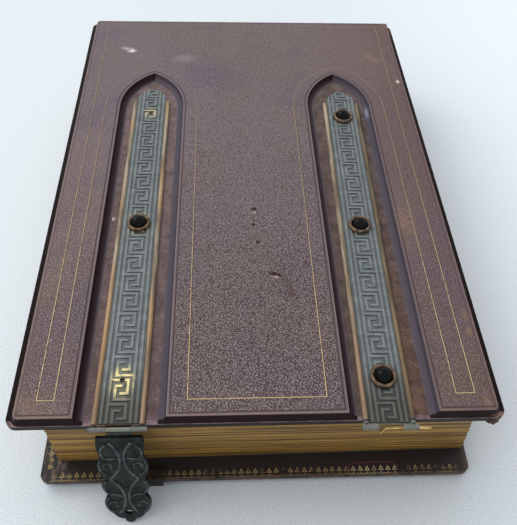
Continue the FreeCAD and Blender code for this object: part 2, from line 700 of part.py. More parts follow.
def build_stud(doc, side, stud):
    """Ring riveted through the strap, holding a domed black stone."""
    name = f"{side}_{stud}"
    ring = new_body(doc, f"{name}_ring")
    profile = new_sketch(ring, f"{name}_ring_profile", "XZ_Plane")
    lip = "(dims.bezel_radius - 2 * dims.bezel_rim)"
    floor = "(dims.bezel_height - dims.bezel_rim - dims.seat_depth / 2)"
    shoulder = "(dims.bezel_height - dims.bezel_rim)"
    draw_outline(profile, [
        ("0", f"-{BAND_TOP}"),
        ("dims.shank_radius", f"-{BAND_TOP}"),
        ("dims.shank_radius", "0"),
        ("dims.bezel_radius", "0"),
        ("dims.bezel_radius", shoulder, "dims.bezel_rim * 1.001", 1),
        (f"{lip}", shoulder),
        (f"{lip}", floor),
        ("0", floor),
    ])
    revolve(ring, f"{name}_ring_turned", profile)
    seat_on_strap(ring, side, stud_along(side, stud), BAND_TOP)
    keep(ring, f"{name}_bezel")
    stone = new_body(doc, f"{name}_stone")
    dome = new_sketch(stone, f"{name}_stone_profile", "XZ_Plane")
    girdle = f"({lip} - dims.stone_clearance)"
    rise = f"(dims.stone_height - {shoulder})"
    draw_outline(dome, [
        ("0", floor),
        (girdle, floor),
        (girdle, shoulder, f"(({girdle} ^ 2 + {rise} ^ 2) / (2 * {rise}))", 1),
        ("0", "dims.stone_height"),
    ])
    revolve(stone, f"{name}_stone_turned", dome)
    seat_on_strap(stone, side, stud_along(side, stud), BAND_TOP)
    keep(stone, f"{name}_cabochon")


# ---------------------------------------------------------------- hinges

def pin_body(doc, side, low, high):
    """Hinge pin along the strap's knuckles; its body starts at the pin's middle."""
    body = new_body(doc, f"{side}_pin_body")
    section = new_sketch(body, f"{side}_pin_sketch", "YZ_Plane",
                         f"{low} + dims.{side}_hinge_shift")
    draw_circle(section, HINGE_Y, HINGE_Z, "dims.pin_radius")
    pad(body, f"{side}_pin_pad", section, f"({high}) - ({low})")
    return body


def build_left_pin(doc):
    body = pin_body(doc, "left", "-dims.hinge_width / 2 - dims.left_pin_end",
                    "dims.hinge_width / 2")
    seat_on_strap(body, "left", "0", "0")
    keep(body, "left_hinge_pin")


def build_right_pin(doc):
    """Stump of the broken pin, with a thin wire bent down from its inner end."""
    body = pin_body(doc, "right", KNUCKLE_START, "dims.hinge_width / 2 + dims.right_pin_end")
    inner = f"({KNUCKLE_START} + dims.right_hinge_shift)"
    bend = "(dims.wire_radius * 4)"
    drop = "(dims.wire_drop)"
    plane = f"-{HINGE_Y}"
    path = new_sketch(body, "right_wire_path", "XZ_Plane", plane)
    route = [(f"{inner} + dims.wire_radius", HINGE_Z),
             (f"{inner} - dims.wire_reach + {bend}", f"{HINGE_Z} - {bend} / 2", bend, 1),
             (f"{inner} - dims.wire_reach", f"{HINGE_Z} - {drop}")]
    draw_route(path, route)
    end = new_sketch(body, "right_wire_section", "YZ_Plane", f"{inner} + dims.wire_radius")
    draw_circle(end, HINGE_Y, HINGE_Z, "dims.wire_radius")
    pipe = body.newObject("PartDesign::AdditivePipe", "right_wire")
    pipe.Profile = end
    pipe.Spine = path
    pipe.Transition = "Right corner"
    seat_on_strap(body, "right", "0", "0")
    keep(body, "right_hinge_pin")


def draw_route(sketch, nodes):
    """Open run of lines through points."""
    points = [Vector(number(sketch, n[0]), number(sketch, n[1]), 0) for n in nodes]
    for i in range(len(points) - 1):
        line = sketch.addGeometry(Part.LineSegment(points[i], points[i + 1]))
        for end, at in ((1, i), (2, i + 1)):
            fix(sketch, Sketcher.Constraint("DistanceX", line, end, points[at].x), nodes[at][0])
            fix(sketch, Sketcher.Constraint("DistanceY", line, end, points[at].y), nodes[at][1])


# ---------------------------------------------------------------- clasp and catch

# The clasp reaches from its pin to the catch's peg and a little on.
CLASP_DROP = f"({CHANNEL_FLOOR} + {HINGE_Z} - dims.peg_rise)"
CLASP_LENGTH = f"({CLASP_DROP} + dims.clasp_toe)"
CLASP_X = f"({strap_x('left')} + dims.left_hinge_shift)"
# It is drawn in parts, so many to its length. The right half of its edge from the top:
# across, down, and the radius of the lobe that follows.
CLASP_PARTS = 66.8
CLASP_EDGE = [
    (10.4, 3.6, 26.0),
    (9.9, 16.3, 17.0),
    (9.7, 32.3, 9.8),
    (8.7, 44.4, 11.2),
    (7.5, 59.8, 6.4),
    (2.4, 64.0, 2.45),
]
# Raised scrolls of the right half, each an arc through three points, by rod thickness.
CLASP_SCROLLS = [
    ("scroll_radius", (5.2, 6.6), (0.95, 19.5), (6.6, 32.0)),
    ("scroll_radius", (6.6, 32.6), (0.95, 47.0), (4.3, 58.4)),
    ("tendril_radius", (6.7, 8.4), (9.3, 12.5), (8.4, 16.6)),
    ("tendril_radius", (8.8, 17.1), (5.4, 17.8), (2.5, 17.3)),
    ("tendril_radius", (10.1, 19.2), (11.0, 24.0), (7.4, 29.7)),
    ("tendril_radius", (9.1, 23.4), (7.2, 20.9), (5.2, 23.2)),
    ("tendril_radius", (8.5, 34.0), (10.5, 38.5), (8.2, 43.5)),
    ("tendril_radius", (7.9, 44.4), (4.6, 44.1), (2.5, 45.9)),
    ("tendril_radius", (8.8, 46.4), (10.4, 52.0), (7.4, 58.2)),
    ("tendril_radius", (9.0, 52.0), (7.2, 49.7), (5.2, 52.2)),
]
CLASP_EYES = [(5.2, 23.7), (5.2, 52.7)]


def parts(count):
    return f"({CLASP_LENGTH} * {round(count, 3)} / {CLASP_PARTS})"


def clasp_edge():
    nodes = [(parts(x), f"-{parts(y)}", parts(radius), -1) for x, y, radius in CLASP_EDGE]
    nodes[-1] = nodes[-1] + ("major",)
    return mirrored(nodes)


def clasp_reach():
    """Hinge pin to the very tip: the last lobe is a round knob."""
    x, y, radius = (parts(size) for size in CLASP_EDGE[-1])
    return f"({y} + {radius} + sqrt({radius} ^ 2 - {x} ^ 2))"


def arc_through(start, middle, end):
    """Centre, radius, first angle and sweep of the arc through three points."""
    (ax, ay), (bx, by), (cx, cy) = start, middle, end
    span = 2 * (ax * (by - cy) + bx * (cy - ay) + cx * (ay - by))
    a2, b2, c2 = (x * x + y * y for x, y in (start, middle, end))
    x = (a2 * (by - cy) + b2 * (cy - ay) + c2 * (ay - by)) / span
    y = (a2 * (cx - bx) + b2 * (ax - cx) + c2 * (bx - ax)) / span
    first, via, last = (math.degrees(math.atan2(q - y, p - x)) for p, q in (start, middle, end))
    if (via - first) % 360 > (last - first) % 360:
        first, last = last, first
    return x, y, math.hypot(ax - x, ay - y), first, (last - first) % 360


def build_scroll(doc, index, sign, thickness, points):
    """One half-sunk rod of a scroll, on the right side or mirrored to the left."""
    flipped = [(sign * x, -y) for x, y in points]
    x, y, radius, first, sweep = arc_through(*flipped)
    side = "right" if sign > 0 else "left"
    rod = doc.addObject("Part::Torus", f"scroll_{side}_{index}")
    rod.Angle3 = sweep
    bind(rod, Radius1=parts(radius), Radius2=f"dims.{thickness}")
    turn(rod, Vector(0, 0, 1), str(round(first, 3)))
    place(rod, parts(x), parts(y), "dims.clasp_offset + dims.clasp_gauge")
    return rod


def build_eye(doc, index, sign, x, y):
    side = "right" if sign > 0 else "left"
    eye = doc.addObject("Part::Sphere", f"eye_{side}_{index}")
    bind(eye, Radius="dims.eye_radius")
    place(eye, parts(sign * x), parts(-y), "dims.clasp_offset + dims.clasp_gauge")
    return eye


def clasp_plate(doc):
    """Lobed plate with its neck, its rolled knuckle and the slot for the peg."""
    body = new_body(doc, "clasp_body")
    edge = new_sketch(body, "clasp_edge", offset="dims.clasp_offset")
    draw_outline(edge, clasp_edge())
    pad(body, "clasp_plate", edge, "dims.clasp_gauge")
    neck = new_sketch(body, "clasp_neck_sketch", offset="dims.clasp_offset")
    draw_outline(neck, rectangle("-dims.clasp_knuckle / 2", "dims.clasp_knuckle / 2",
                                 f"-{parts(CLASP_EDGE[0][1] + 1)}",
                                 "-(dims.pin_radius + dims.pin_clearance) * 1.2"))
    pad(body, "clasp_neck", neck, "dims.knuckle_radius - dims.clasp_offset")
    roll = new_sketch(body, "clasp_knuckle_sketch", "YZ_Plane", "-dims.clasp_knuckle / 2")
    draw_circle(roll, "0", "0", "dims.knuckle_radius")
    draw_circle(roll, "0", "0", "dims.pin_radius + dims.pin_clearance")
    pad(body, "clasp_knuckle", roll, "dims.clasp_knuckle")
    slot = new_sketch(body, "clasp_slot_sketch", offset="dims.clasp_offset + dims.clasp_gauge")
    half, rise = "(dims.clasp_hole_width / 2)", "(dims.clasp_hole_height / 2)"
    bow = f"(({half} ^ 2 + {rise} ^ 2) / (2 * {rise}))"
    draw_outline(slot, [
        (f"-{half}", f"-{CLASP_DROP}", bow, 1),
        (half, f"-{CLASP_DROP}", bow, 1),
    ])
    pocket(body, "clasp_slot", slot, "dims.clasp_gauge")
    return body


def build_clasp(doc):
    """Cast clasp with scrolls in relief, hanging from the left strap's pin."""
    shapes = [clasp_plate(doc)]
    for sign in (1, -1):
        for index, (thickness, *points) in enumerate(CLASP_SCROLLS):
            shapes.append(build_scroll(doc, index, sign, thickness, points))
        for index, (x, y) in enumerate(CLASP_EYES):
            shapes.append(build_eye(doc, index, sign, x, y))
    clasp = fuse(doc, "clasp_cast", shapes)
    pin_height = f"({CHANNEL_FLOOR} + {HINGE_Z})"
    tip = clasp_reach()
    turn(clasp, Vector(1, 0, 0),
         f"atan(dims.clasp_offset / {tip})"
         f" + asin(({pin_height} - dims.clasp_lift) / sqrt({tip} ^ 2 + dims.clasp_offset ^ 2))")
    place(clasp, CLASP_X, f"{NEAR_EDGE} + {HINGE_Y}", pin_height)
    keep(clasp, "left_clasp")


def build_catch(doc):
    """Plate bent over the lower cover's edge, with the peg the clasp drops on."""
    body = new_body(doc, "catch_body")
    catch_x = f"({CHANNEL_X['left']} + dims.catch_shift)"
    edge = "(-dims.cover_length / 2)"
    front = f"({edge} - dims.catch_gauge)"
    top = f"({COVER_GAUGE} + dims.catch_gauge)"
    profile = new_sketch(body, "catch_profile", "YZ_Plane", catch_x)
    draw_outline(profile, [
        (front, "dims.catch_foot"),
        (edge, "dims.catch_foot"),
        (edge, COVER_GAUGE),
        (f"{edge} + dims.catch_tongue", COVER_GAUGE),
        (f"{edge} + dims.catch_tongue", top),
        (edge, top, "dims.catch_gauge", 1),
        (front, COVER_GAUGE),
    ])
    pad(body, "catch_plate", profile, "dims.catch_width", midplane=True)
    peg = new_sketch(body, "catch_peg_sketch", "XZ_Plane", f"-{edge}")
    draw_circle(peg, CLASP_X, "dims.peg_rise", "dims.peg_radius")
    pad(body, "catch_peg", peg, "dims.catch_gauge + dims.peg_length")
    keep(body, "left_catch_plate")


# ---------------------------------------------------------------- assembly

def check_document(doc):
    """Stop if any object is broken or any sub-part is not one sound solid."""
    for obj in doc.Objects:
        if "Invalid" in obj.State or "Error" in obj.State:
            raise RuntimeError(f"{obj.Name}: {obj.State}")
    for obj in NODES:
        shape = obj.Shape
        if shape.isNull() or not shape.isValid() or len(shape.Solids) != 1:
            raise RuntimeError(f"{obj.Label} is not one sound solid")


def main():
    doc = FreeCAD.newDocument("leather_photo_album")
    sheet = build_sheet(doc)
    for side in ("lower", "upper"):
        build_cover(doc, side)
    build_leaves(doc, sheet)
    build_flyleaves(doc)
    build_spine(doc)
    for side in ("left", "right"):
        build_strap_base(doc, side)
        build_key_band(doc, side)
    build_stud(doc, "left", "mid")
    for stud in STUDS:
        build_stud(doc, "right", stud)
    build_left_pin(doc)
    build_right_pin(doc)
    build_clasp(doc)
    build_catch(doc)
    doc.recompute()
    check_document(doc)
    os.makedirs("parts", exist_ok=True)
    for obj in NODES:
        obj.Shape.exportStep(f"parts/{obj.Label}.step")
        print(f"{obj.Label}: volume {obj.Shape.Volume:.1f} mm3")


main()
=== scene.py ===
import math
import random

import bmesh
import bpy
from mathutils import Matrix, Vector


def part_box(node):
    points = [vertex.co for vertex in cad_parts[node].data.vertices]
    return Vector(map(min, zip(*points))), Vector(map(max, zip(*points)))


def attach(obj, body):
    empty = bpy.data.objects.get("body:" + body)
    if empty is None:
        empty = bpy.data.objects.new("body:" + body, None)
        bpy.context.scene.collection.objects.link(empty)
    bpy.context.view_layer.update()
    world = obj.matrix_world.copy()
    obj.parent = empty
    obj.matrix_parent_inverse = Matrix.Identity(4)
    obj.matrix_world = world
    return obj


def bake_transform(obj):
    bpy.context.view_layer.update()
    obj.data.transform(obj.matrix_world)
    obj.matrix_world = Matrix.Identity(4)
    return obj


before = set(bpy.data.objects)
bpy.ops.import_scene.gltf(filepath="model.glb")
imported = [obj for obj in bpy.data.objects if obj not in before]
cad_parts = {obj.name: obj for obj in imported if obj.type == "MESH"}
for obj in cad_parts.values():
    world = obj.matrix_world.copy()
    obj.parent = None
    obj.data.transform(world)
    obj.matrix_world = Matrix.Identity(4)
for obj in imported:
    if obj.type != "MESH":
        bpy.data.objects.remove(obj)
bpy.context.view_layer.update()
RANDOM = random.Random(11)
MM = 0.001

# ---------------------------------------------------------------- places from the frame

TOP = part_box("upper_leather")
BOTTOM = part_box("lower_leather")
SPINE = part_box("spine_leather")
PANEL_Z = TOP[1][2]
FLOOR_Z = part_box("left_strap_base")[0][2]
NEAR_Y = TOP[0][1]
FAR_Y = TOP[1][1]
MID_X = (TOP[0][0] + TOP[1][0]) / 2

# The upper cover in mm: x from its middle, y from its near edge.
CHANNELS = (-63.2, 61.8)
CHANNEL_HALF = 21.0
SPRING = 227.0
PANEL_HALF = 110.6
PANEL_NEAR = 2.2
PANEL_FAR = 329.8

# The middle of the lost right catch, in metres.
LOST_CATCH_X = 0.061


def on_top(x, y, lift=0.0):
    """A point on the upper cover: x from its middle and y from its near edge, in mm."""
    return Vector((MID_X + x * MM, NEAR_Y + y * MM, PANEL_Z + lift * MM))


def on_lower(x, y, lift=0.06):
    """A point on the lower cover's inner face: x from its middle, y from its near edge, in mm."""
    return Vector((x * MM, BOTTOM[0][1] + y * MM, BOTTOM[1][2] + lift * MM))


# ---------------------------------------------------------------- node helpers

class Nodes:
    """Small wrapper that makes and links shader nodes."""

    def __init__(self, tree):
        self.tree = tree
        self.tree.nodes.clear()

    def add(self, kind, **values):
        node = self.tree.nodes.new(kind)
        for key, value in values.items():
            setattr(node, key, value)
        return node

    def put(self, socket, value):
        if isinstance(value, bpy.types.NodeSocket):
            self.tree.links.new(value, socket)
        elif value is not None:
            socket.default_value = value

    def math(self, operation, a, b=None, clamp=False):
        node = self.add("ShaderNodeMath", operation=operation, use_clamp=clamp)
        for socket, value in zip(node.inputs, (a, b)):
            self.put(socket, value)
        return node.outputs[0]

    def times(self, a, b, clamp=False):
        return self.math("MULTIPLY", a, b, clamp)

    def plus(self, a, b, clamp=False):
        return self.math("ADD", a, b, clamp)

    def minus(self, a, b):
        return self.math("SUBTRACT", a, b)

    def most(self, a, b):
        return self.math("MAXIMUM", a, b)

    def least(self, a, b):
        return self.math("MINIMUM", a, b)

    def invert(self, value):
        return self.minus(1.0, value)

    def away(self, value, centre):
        """Distance of a value from a centre, either way."""
        return self.math("ABSOLUTE", self.minus(value, centre))

    def reach(self, a, b):
        """Length of the diagonal over two sides."""
        return self.math("SQRT", self.plus(self.times(a, a), self.times(b, b)))

    def ramp(self, value, low, high):
        """0 at low, 1 at high, smooth between."""
        node = self.add("ShaderNodeMapRange", interpolation_type="SMOOTHSTEP")
        self.put(node.inputs["Value"], value)
        node.inputs["From Min"].default_value = low
        node.inputs["From Max"].default_value = high
        return node.outputs["Result"]

    def mix(self, factor, a, b):
        node = self.add("ShaderNodeMix", data_type="RGBA", blend_type="MIX")
        self.put(node.inputs["Factor"], factor)
        colors = [s for s in node.inputs if s.type == "RGBA"]
        self.put(colors[0], a)
        self.put(colors[1], b)
        return next(s for s in node.outputs if s.type == "RGBA")

    def tint(self, mask, strength, base, color):
        """A base colour with another over it where the mask is, at that strength."""
        return self.mix(self.times(mask, strength), base, color)

    def vector(self, operation, a, b=None):
        node = self.add("ShaderNodeVectorMath", operation=operation)
        for socket, value in zip(node.inputs, (a, b)):
            self.put(socket, value)
        return node.outputs["Value" if operation in ("LENGTH", "DOT_PRODUCT") else "Vector"]

    def noise(self, scale, detail=3.0, rough=0.55, vector=None):
        node = self.add("ShaderNodeTexNoise")
        self.put(node.inputs["Vector"], vector if vector else self.place())
        node.inputs["Scale"].default_value = scale
        node.inputs["Detail"].default_value = detail
        node.inputs["Roughness"].default_value = rough
        return node.outputs["Fac"]

    def streaks(self, scales, detail, rough):
        """Noise with a scale of its own along each axis."""
        return self.noise(1.0, detail, rough, self.vector("MULTIPLY", self.place(), scales))

    def patches(self, scale, detail, low, high, rough=0.55):
        """Noise cut into patches: 0 under low, 1 over high."""
        return self.ramp(self.noise(scale, detail, rough), low, high)

    def place(self):
        return self.add("ShaderNodeTexCoord").outputs["Object"]

    def axis(self, name, vector=None):
        node = self.add("ShaderNodeSeparateXYZ")
        self.put(node.inputs[0], vector if vector else self.place())
        return node.outputs[name]

    def facing(self, name):
        return self.axis(name, self.add("ShaderNodeNewGeometry").outputs["True Normal"])

    def spot(self, centre, radii):
        """1 at a centre, falling to 0 on an ellipsoid of those radii, in metres."""
        scaled = self.vector("DIVIDE", self.vector("SUBTRACT", self.place(), centre), radii)
        return self.ramp(self.vector("LENGTH", scaled), 1.0, 0.0)

    def bump(self, height, strength, distance):
        node = self.add("ShaderNodeBump")
        node.inputs["Strength"].default_value = strength
        node.inputs["Distance"].default_value = distance
        self.put(node.inputs["Height"], height)
        return node.outputs[0]

    def finish(self, color, roughness, metallic=0.0, normal=None, **constants):
        shader = self.add("ShaderNodeBsdfPrincipled")
        self.put(shader.inputs["Base Color"], color)
        self.put(shader.inputs["Roughness"], roughness)
        self.put(shader.inputs["Metallic"], metallic)
        self.put(shader.inputs["Normal"], normal)
        for name, value in constants.items():
            shader.inputs[name.replace("_", " ")].default_value = value
        output = self.add("ShaderNodeOutputMaterial")
        self.put(output.inputs["Surface"], shader.outputs[0])


def rgb(red, green, blue):
    """An sRGB colour of 0 to 255 as linear RGBA."""
    def linear(v):
        v /= 255
        return v / 12.92 if v <= 0.04045 else ((v + 0.055) / 1.055) ** 2.4
    return (linear(red), linear(green), linear(blue), 1.0)


def new_material(name):
    material = bpy.data.materials.new(name)
    material.use_nodes = True
    return material, Nodes(material.node_tree)


def dress(material, *names):
    for name in names:
        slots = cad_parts[name].data.materials
        slots.clear()
        slots.append(material)


def new_piece(name, mesh, material):
    """An object of its own, in one material, from a bmesh."""
    data = bpy.data.meshes.new(name)
    mesh.to_mesh(data)
    mesh.free()
    data.materials.append(material)
    piece = bpy.data.objects.new(name, data)
    bpy.context.scene.collection.objects.link(piece)
    return piece


# ---------------------------------------------------------------- leather

LEATHER = {
    "faded far": rgb(108, 96, 98),
    "faded near": rgb(109, 96, 92),
    "brown right": rgb(90, 67, 60),
    "pale left": rgb(136, 113, 100),
    "brown cloud": rgb(108, 93, 83),
    "violet cloud": rgb(90, 79, 93),
    "crease": rgb(34, 22, 26),
    "crown": rgb(180, 172, 170),
    "margin": rgb(82, 71, 74),
    "painted_edge_highlight": rgb(176, 156, 152),
    # Painted highlight on the panels' rounded edge.
    "score": rgb(40, 22, 28),
    "rubbed": rgb(144, 110, 84),
    # Painted shade: the outer bevels are near-black, over their darker leather.
    "bevel_painted_shade": rgb(4, 1, 1),
}

# Wear on the upper cover, and a painted highlight on a channel wall: x, y, half across and half
# along in mm, then any depth under the panels.
SCUFF = (-81.6, 290.4, 5.0, 3.6)
FAINT_SCUFF = (-85.8, 293.6, 5.5, 3.6)
GREY_CLOUD = (-43.7, 281.0, 13.0, 8.0)
PALE_CHIP = (106.8, 254.4, 2.0, 3.0)
PALE_DOT = (-78.9, 127.3, 1.1, 1.8, 4.0)
# A painted highlight on the right channel's right wall.
WALL_HIGHLIGHT = (80.4, 222.9, 2.2, 9.0, 2.4)
NICKS = ((1.6, 130.8, 2.6, 1.7), (0.9, 118.7, 1.3, 1.5), (2.9, 105.6, 1.4, 1.5),
         (10.6, 83.2, 3.2, 1.7), (13.4, 82.2, 1.6, 1.4))
TORN = ((1.6, 128.1, 1.6, 1.8), (11.6, 80.9, 2.4, 1.4))
SMEARS = ((1.1, 122.0, 1.2, 8.0), (15.9, 79.5, 3.2, 4.5), (17.9, 75.0, 3.2, 5.5),
          (19.2, 69.5, 3.0, 5.5))
RUBS = ((107.1, 55.1, 3.0, 6.5), (106.8, 45.3, 2.4, 4.5), (106.0, 6.5, 4.0, 5.5),
        (94.0, 280.7, 7.0, 6.0), (90.5, 287.0, 6.0, 7.0), (-104.0, 8.0, 7.0, 7.0),
        (-101.0, 92.0, 3.5, 12.0), (88.0, 120.0, 9.0, 18.0))

# The grain: pebbles per metre and how far they stray from a grid, the scale and reach in
# metres of the cloud that shifts them, and the angle the grid is turned by.
PEBBLES = 1143
PEBBLE_SCATTER = 0.65
SHIFT_SCALE = 480
SHIFT = 0.0014
GRID_TURN = 0.6


def grain(n):
    """Pebbled goatskin: close, uneven raised cells with dark creases between them."""
    cloud = n.add("ShaderNodeTexNoise")
    n.put(cloud.inputs["Vector"], n.place())
    cloud.inputs["Scale"].default_value = SHIFT_SCALE
    shifted = n.vector("ADD", n.place(),
                       n.vector("MULTIPLY", cloud.outputs["Color"], (SHIFT, SHIFT, SHIFT)))
    turned = n.add("ShaderNodeVectorRotate", rotation_type="Z_AXIS")
    n.put(turned.inputs["Vector"], shifted)
    turned.inputs["Angle"].default_value = GRID_TURN
    cells = n.add("ShaderNodeTexVoronoi", feature="F1")
    n.put(cells.inputs["Vector"], turned.outputs[0])
    cells.inputs["Scale"].default_value = PEBBLES
    cells.inputs["Randomness"].default_value = PEBBLE_SCATTER
    pebble = n.ramp(cells.outputs["Distance"], 0.66, 0.14)
    return n.times(pebble, n.patches(1900, 1, 0.1, 0.5))


def panel_edges(n):
    """Distance in mm, inwards, from the panels' outer rectangle and from their nearest edge."""
    x = n.times(n.minus(n.axis("X"), MID_X), 1 / MM)
    y = n.times(n.minus(n.axis("Y"), NEAR_Y), 1 / MM)
    rim = n.minus(PANEL_HALF, n.math("ABSOLUTE", x))
    rim = n.least(rim, n.minus(y, PANEL_NEAR))
    rim = n.least(rim, n.minus(PANEL_FAR, y))
    edge = rim
    rise = n.most(n.minus(y, SPRING), 0.0)
    for middle in CHANNELS:
        across = n.plus(n.away(x, middle), CHANNEL_HALF)
        edge = n.least(edge, n.minus(n.reach(across, rise), 2 * CHANNEL_HALF))
    return rim, edge


def scored_line(n, rim, edge, on_panel):
    """Line pressed in along the panels' edges, faint on their outer sides."""
    front = n.ramp(n.axis("Y"), NEAR_Y + 0.006, NEAR_Y + 0.004)
    faint = n.times(n.ramp(rim, 2.6, 1.9), n.invert(front))
    line = n.invert(n.ramp(n.away(edge, 1.5), 0.1, 0.36))
    return n.times(n.times(line, on_panel), n.invert(n.times(faint, 0.6)))


def panel_color(n, near, right, pebble, grained):
    """Faded ground with brown and violet clouds, under the grain's creases and crowns."""
    body = n.mix(near, LEATHER["faded far"], LEATHER["faded near"])
    body = n.tint(right, 0.7, body, LEATHER["brown right"])
    left = n.times(n.ramp(n.axis("X"), MID_X - 0.07, MID_X - 0.1), near)
    body = n.tint(left, 0.6, body, LEATHER["pale left"])
    body = n.tint(n.patches(11, 4, 0.42, 0.68), 0.6, body, LEATHER["brown cloud"])
    body = n.tint(n.patches(17, 3, 0.48, 0.7), 0.5, body, LEATHER["violet cloud"])
    outer = n.ramp(n.away(n.axis("X"), MID_X), 0.045, 0.09)
    calm = n.times(outer, n.plus(0.32, n.times(right, 0.16)))
    marked = n.times(grained, n.invert(calm))
    crease = n.times(n.times(n.minus(0.6, pebble), 1.2), marked, clamp=True)
    body = n.mix(crease, body, LEATHER["crease"])
    crown = n.times(n.ramp(pebble, 0.45, 0.95), marked)
    return n.tint(crown, 0.42, body, LEATHER["crown"])


def leather_material():
    """Maroon leather, faded to grey purple on top, browner on the right and where rubbed."""
    material, n = new_material("album_leather")
    rim, edge = panel_edges(n)
    on_panel = n.ramp(n.axis("Z"), PANEL_Z - 0.0004, PANEL_Z - 0.0001)
    level = n.ramp(n.facing("Z"), 0.93, 0.995)
    near = n.ramp(n.axis("Y"), NEAR_Y + 0.27, NEAR_Y + 0.03)
    right = n.ramp(n.axis("X"), MID_X + 0.02, TOP[1][0])
    low = n.times(n.invert(on_panel), level)
    grained = n.most(n.times(on_panel, n.ramp(edge, 1.6, 2.2)), low)
    grained = n.times(grained, n.plus(0.5, n.times(near, 0.5)))
    pebble = grain(n)
    score = scored_line(n, rim, edge, on_panel)
    body = panel_color(n, near, right, pebble, grained)
    smooth = n.times(on_panel, n.ramp(edge, 2.2, 1.6))
    body = n.tint(smooth, 0.5, body, LEATHER["margin"])
    # Painted highlight along the panels' edge, weaker towards the right.
    painted_edge_highlight = n.times(on_panel, n.ramp(edge, 0.7, 0.1))
    painted_edge_highlight = n.times(painted_edge_highlight, n.minus(0.22, n.times(right, 0.16)))
    body = n.mix(painted_edge_highlight, body, LEATHER["painted_edge_highlight"])
    body = n.tint(score, 0.75, body, LEATHER["score"])
    body = n.mix(n.invert(on_panel), body, low_leather(n, rim, level, pebble, grained))
    body = n.mix(rub_mask(n, rim, on_panel), body, LEATHER["rubbed"])
    relief = n.minus(n.times(pebble, grained), n.times(score, 0.9))
    n.finish(scuffs(n, body), n.plus(0.45, n.times(level, 0.15)),
             normal=n.bump(relief, 0.7, 0.0004), Specular_IOR_Level=0.26,
             Specular_Tint=(1.0, 0.56, 0.58, 1.0))
    return material


def low_leather(n, rim, level, pebble, grained):
    """Channel floors rubbed brown, most on the right; coved walls in painted light and shade; outer
    bevels painted near-black as shade.
    """
    patch = n.patches(150, 4, 0.3, 0.7, 0.6)
    floor = n.mix(patch, rgb(96, 80, 78), rgb(126, 109, 104))
    right = n.ramp(n.axis("X"), MID_X + 0.02, MID_X + 0.04)
    floor = n.mix(right, floor, n.mix(patch, rgb(76, 64, 58), rgb(106, 92, 84)))
    worn = n.ramp(n.axis("Y"), NEAR_Y + 0.17, NEAR_Y)
    beside_strap = n.ramp(n.axis("X"), MID_X + 0.066, MID_X + 0.072)
    floor = n.tint(n.times(worn, beside_strap), 0.6, floor,
                   n.mix(patch, rgb(86, 64, 50), rgb(136, 102, 76)))
    dim = n.times(n.minus(0.7, pebble), grained, clamp=True)
    floor = n.tint(dim, 0.8, floor, rgb(44, 30, 32))
    # Painted light and shade on the coved walls: colour set by the way each wall faces, and the
    # upper part painted darker.
    lit = n.ramp(n.facing("X"), 0.0, -0.3)
    cove_light_and_shade = n.mix(lit, rgb(130, 122, 128), n.mix(patch, rgb(66, 67, 72), rgb(86, 88, 94)))
    rise = n.ramp(n.axis("Z"), FLOOR_Z + 0.0006, FLOOR_Z + 0.0030)
    cove_light_and_shade = n.mix(rise, cove_light_and_shade, n.mix(lit, rgb(28, 14, 20), rgb(58, 55, 62)))
    # The near lip's level face keeps a leather colour; the other outer faces get the near-black
    # painted shade.
    lip = n.times(level, n.ramp(n.axis("Y"), NEAR_Y + 0.0036, NEAR_Y + 0.0026))
    bevel_painted_shade = n.mix(lip, LEATHER["bevel_painted_shade"], n.mix(patch, rgb(86, 69, 70), rgb(126, 108, 108)))
    return n.mix(n.ramp(rim, 0.2, -0.2), n.mix(level, cove_light_and_shade, floor), bevel_painted_shade)


def rub_mask(n, rim, on_panel):
    """Wear in a thin line along the panels' outer edge, in patches and at the right corners."""
    worn = n.times(n.ramp(n.away(rim, 0.4), 0.9, 0.1), 0.34)
    for x, y, across, along in RUBS:
        rub = n.spot(on_top(x, y), (across * MM, along * MM, 0.006))
        worn = n.most(worn, n.times(rub, 0.6))
    near_corner = n.spot(on_top(110.5, 0.5, -4.0), (0.006, 0.004, 0.0022))
    far_corner = n.spot((TOP[1][0], FAR_Y, PANEL_Z), (0.014, 0.018, 0.02))
    worn = n.most(n.times(worn, on_panel), n.most(near_corner, far_corner))
    return n.times(worn, n.patches(300, 5, 0.36, 0.66, 0.7))


def scuffs(n, body):
    """White scuff near the far left corner, nicks along the middle, pale spots and a painted
    highlight on a channel wall.
    """
    def spot(x, y, across, along, depth=0.0):
        return n.spot(on_top(x, y, -depth), (across * MM, along * MM, 0.002))

    white = n.most(n.times(spot(*FAINT_SCUFF), 0.5), spot(*SCUFF))
    white = n.times(n.times(white, 0.85), n.patches(300, 3, 0.3, 0.6))
    body = n.mix(white, body, rgb(232, 226, 222))
    body = n.tint(spot(*GREY_CLOUD), 0.3, body, rgb(152, 148, 140))
    for smear in SMEARS:
        body = n.tint(spot(*smear), 0.6, body, rgb(68, 52, 44))
    for fibre in TORN:
        body = n.tint(spot(*fibre), 0.6, body, rgb(186, 160, 134))
    for nick in NICKS:
        body = n.mix(n.times(spot(*nick), 1.7, clamp=True), body, rgb(30, 18, 12))
    body = n.mix(spot(*PALE_CHIP), body, rgb(206, 186, 166))
    body = n.mix(spot(*PALE_DOT), body, rgb(200, 192, 192))
    # Painted highlight on the right channel's wall.
    return n.tint(spot(*WALL_HIGHLIGHT), 0.7, body, rgb(140, 140, 156))


def spine_material():
    """The same leather on the plain, unfaded spine."""
    material, n = new_material("album_leather_spine")
    pebble = grain(n)
    body = n.mix(n.patches(14, 4, 0.3, 0.7), rgb(84, 62, 62), rgb(104, 80, 78))
    crease = n.times(n.minus(0.8, pebble), 0.6, clamp=True)
    n.finish(n.mix(crease, body, rgb(36, 22, 24)), 0.55, normal=n.bump(pebble, 0.5, 0.0004),
             Specular_IOR_Level=0.42)
    return material


